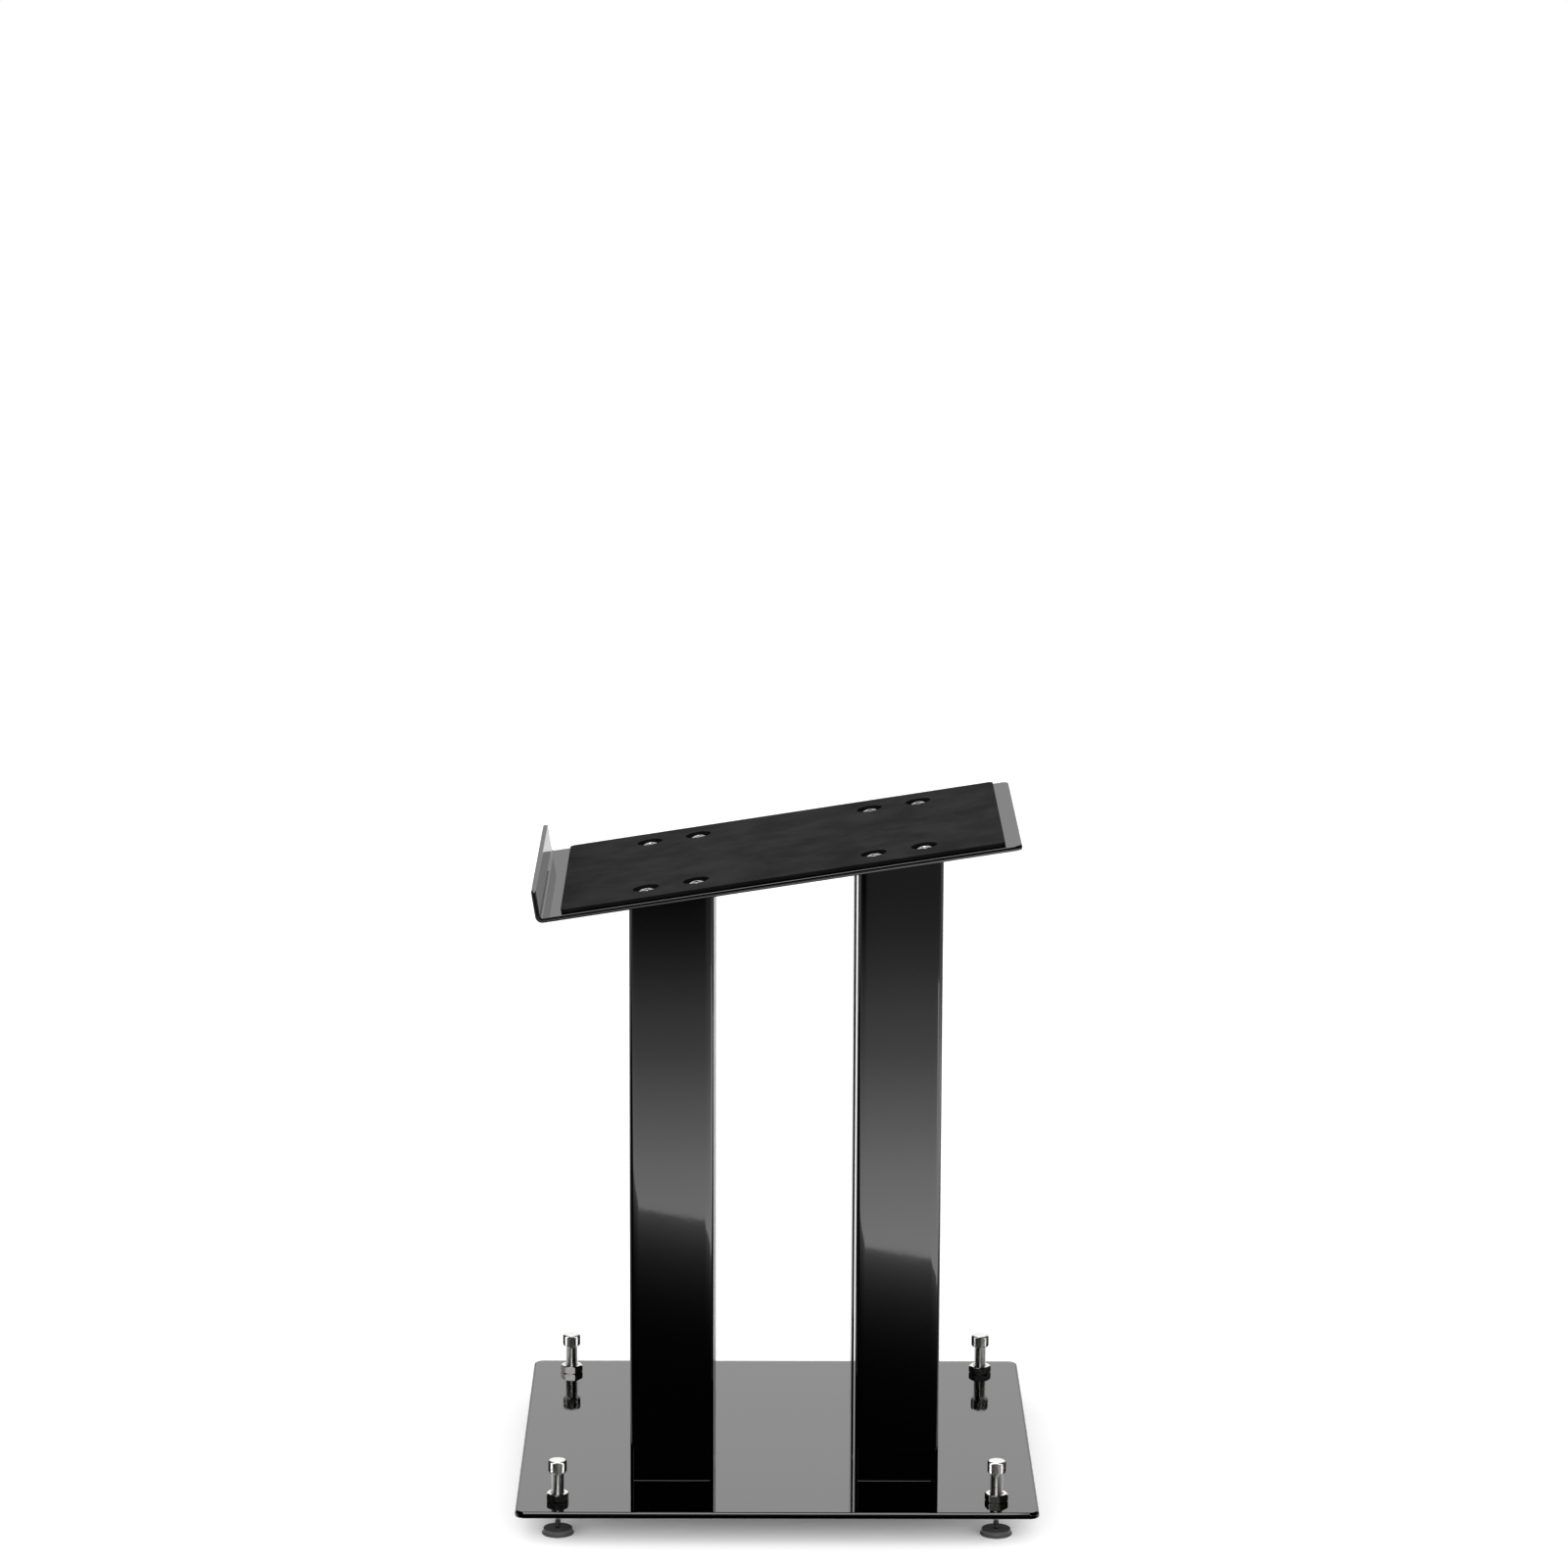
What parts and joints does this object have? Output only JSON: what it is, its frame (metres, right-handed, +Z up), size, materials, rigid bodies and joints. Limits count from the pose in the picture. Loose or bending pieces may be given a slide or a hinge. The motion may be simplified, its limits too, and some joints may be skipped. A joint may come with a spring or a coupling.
{
  "type": "speaker stand",
  "caption": "Low gloss-black speaker stand: four square columns on a flat base carry a sloping, lipped top plate with a rubber pad, on adjustable levelling spikes.",
  "frame": {"origin": "centre of the footprint, on the floor under the floor discs", "axes": "+Z up; +X towards the high free edge of the top plate, -X towards the lip; +Y away from the pictured long side"},
  "size_m": [0.32, 0.3, 0.427],
  "materials": {
    "gloss_black_steel": "high-gloss black paint",
    "rubber_pad": "matt black foam rubber",
    "zinc_screws": "bright zinc",
    "bright_nickel": "bright nickel plate",
    "grey_discs": "satin dark grey"
  },
  "bodies": {
    "stand": {"base_plate": "gloss_black_steel", "column_front_left": "gloss_black_steel", "column_front_right": "gloss_black_steel", "column_rear_left": "gloss_black_steel", "column_rear_right": "gloss_black_steel", "bottom_end_plate_front_left": "gloss_black_steel", "bottom_end_plate_front_right": "gloss_black_steel", "bottom_end_plate_rear_left": "gloss_black_steel", "bottom_end_plate_rear_right": "gloss_black_steel", "top_end_plate_front_left": "gloss_black_steel", "top_end_plate_front_right": "gloss_black_steel", "top_end_plate_rear_left": "gloss_black_steel", "top_end_plate_rear_right": "gloss_black_steel", "base_screws_front_left": "zinc_screws", "base_screws_front_right": "zinc_screws", "base_screws_rear_left": "zinc_screws", "base_screws_rear_right": "zinc_screws", "top_plate": "gloss_black_steel", "top_pad": "rubber_pad", "top_screws_front_left": "zinc_screws", "top_screws_front_right": "zinc_screws", "top_screws_rear_left": "zinc_screws", "top_screws_rear_right": "zinc_screws"},
    "floor_disc_front_left": {"disc_front_left": "grey_discs"},
    "levelling_spike_front_left": {"spike_front_left": "bright_nickel"},
    "nut_front_left": {"locknut_front_left": "bright_nickel"},
    "floor_disc_front_right": {"disc_front_right": "grey_discs"},
    "levelling_spike_front_right": {"spike_front_right": "bright_nickel"},
    "nut_front_right": {"locknut_front_right": "bright_nickel"},
    "floor_disc_rear_left": {"disc_rear_left": "grey_discs"},
    "levelling_spike_rear_left": {"spike_rear_left": "bright_nickel"},
    "nut_rear_left": {"locknut_rear_left": "bright_nickel"},
    "floor_disc_rear_right": {"disc_rear_right": "grey_discs"},
    "levelling_spike_rear_right": {"spike_rear_right": "bright_nickel"},
    "nut_rear_right": {"locknut_rear_right": "bright_nickel"}
  },
  "joints": [
    {"name": "front_left_disc_lift", "type": "slide", "parent": "stand", "child": "floor_disc_front_left", "axis": [0, 0, 1], "range_m": [-0.0127, 0.00212]},
    {"name": "front_left_spike_turn", "type": "hinge", "parent": "floor_disc_front_left", "child": "levelling_spike_front_left", "pos_m": [-0.1345, -0.126, 0], "axis": [0, 0, 1], "range_deg": [-3242, 542]},
    {"name": "front_left_nut_turn", "type": "hinge", "parent": "stand", "child": "nut_front_left", "pos_m": [-0.1345, -0.126, 0], "axis": [0, 0, 1], "range_deg": [0, 720]},
    {"name": "front_right_disc_lift", "type": "slide", "parent": "stand", "child": "floor_disc_front_right", "axis": [0, 0, 1], "range_m": [-0.0127, 0.00212]},
    {"name": "front_right_spike_turn", "type": "hinge", "parent": "floor_disc_front_right", "child": "levelling_spike_front_right", "pos_m": [0.1345, -0.126, 0], "axis": [0, 0, 1], "range_deg": [-3242, 542]},
    {"name": "front_right_nut_turn", "type": "hinge", "parent": "stand", "child": "nut_front_right", "pos_m": [0.1345, -0.126, 0], "axis": [0, 0, 1], "range_deg": [0, 720]},
    {"name": "rear_left_disc_lift", "type": "slide", "parent": "stand", "child": "floor_disc_rear_left", "axis": [0, 0, 1], "range_m": [-0.0127, 0.00212]},
    {"name": "rear_left_spike_turn", "type": "hinge", "parent": "floor_disc_rear_left", "child": "levelling_spike_rear_left", "pos_m": [-0.1345, 0.126, 0], "axis": [0, 0, 1], "range_deg": [-3242, 542]},
    {"name": "rear_left_nut_turn", "type": "hinge", "parent": "stand", "child": "nut_rear_left", "pos_m": [-0.1345, 0.126, 0], "axis": [0, 0, 1], "range_deg": [0, 720]},
    {"name": "rear_right_disc_lift", "type": "slide", "parent": "stand", "child": "floor_disc_rear_right", "axis": [0, 0, 1], "range_m": [-0.0127, 0.00212]},
    {"name": "rear_right_spike_turn", "type": "hinge", "parent": "floor_disc_rear_right", "child": "levelling_spike_rear_right", "pos_m": [0.1345, 0.126, 0], "axis": [0, 0, 1], "range_deg": [-3242, 542]},
    {"name": "rear_right_nut_turn", "type": "hinge", "parent": "stand", "child": "nut_rear_right", "pos_m": [0.1345, 0.126, 0], "axis": [0, 0, 1], "range_deg": [0, 720]}
  ],
  "couplings": [
    {"joint": "front_left_spike_turn", "follows": "front_left_disc_lift", "rad_per_m": 4452.7},
    {"joint": "front_right_spike_turn", "follows": "front_right_disc_lift", "rad_per_m": 4452.7},
    {"joint": "rear_left_spike_turn", "follows": "rear_left_disc_lift", "rad_per_m": 4452.7},
    {"joint": "rear_right_spike_turn", "follows": "rear_right_disc_lift", "rad_per_m": 4452.7}
  ]
}
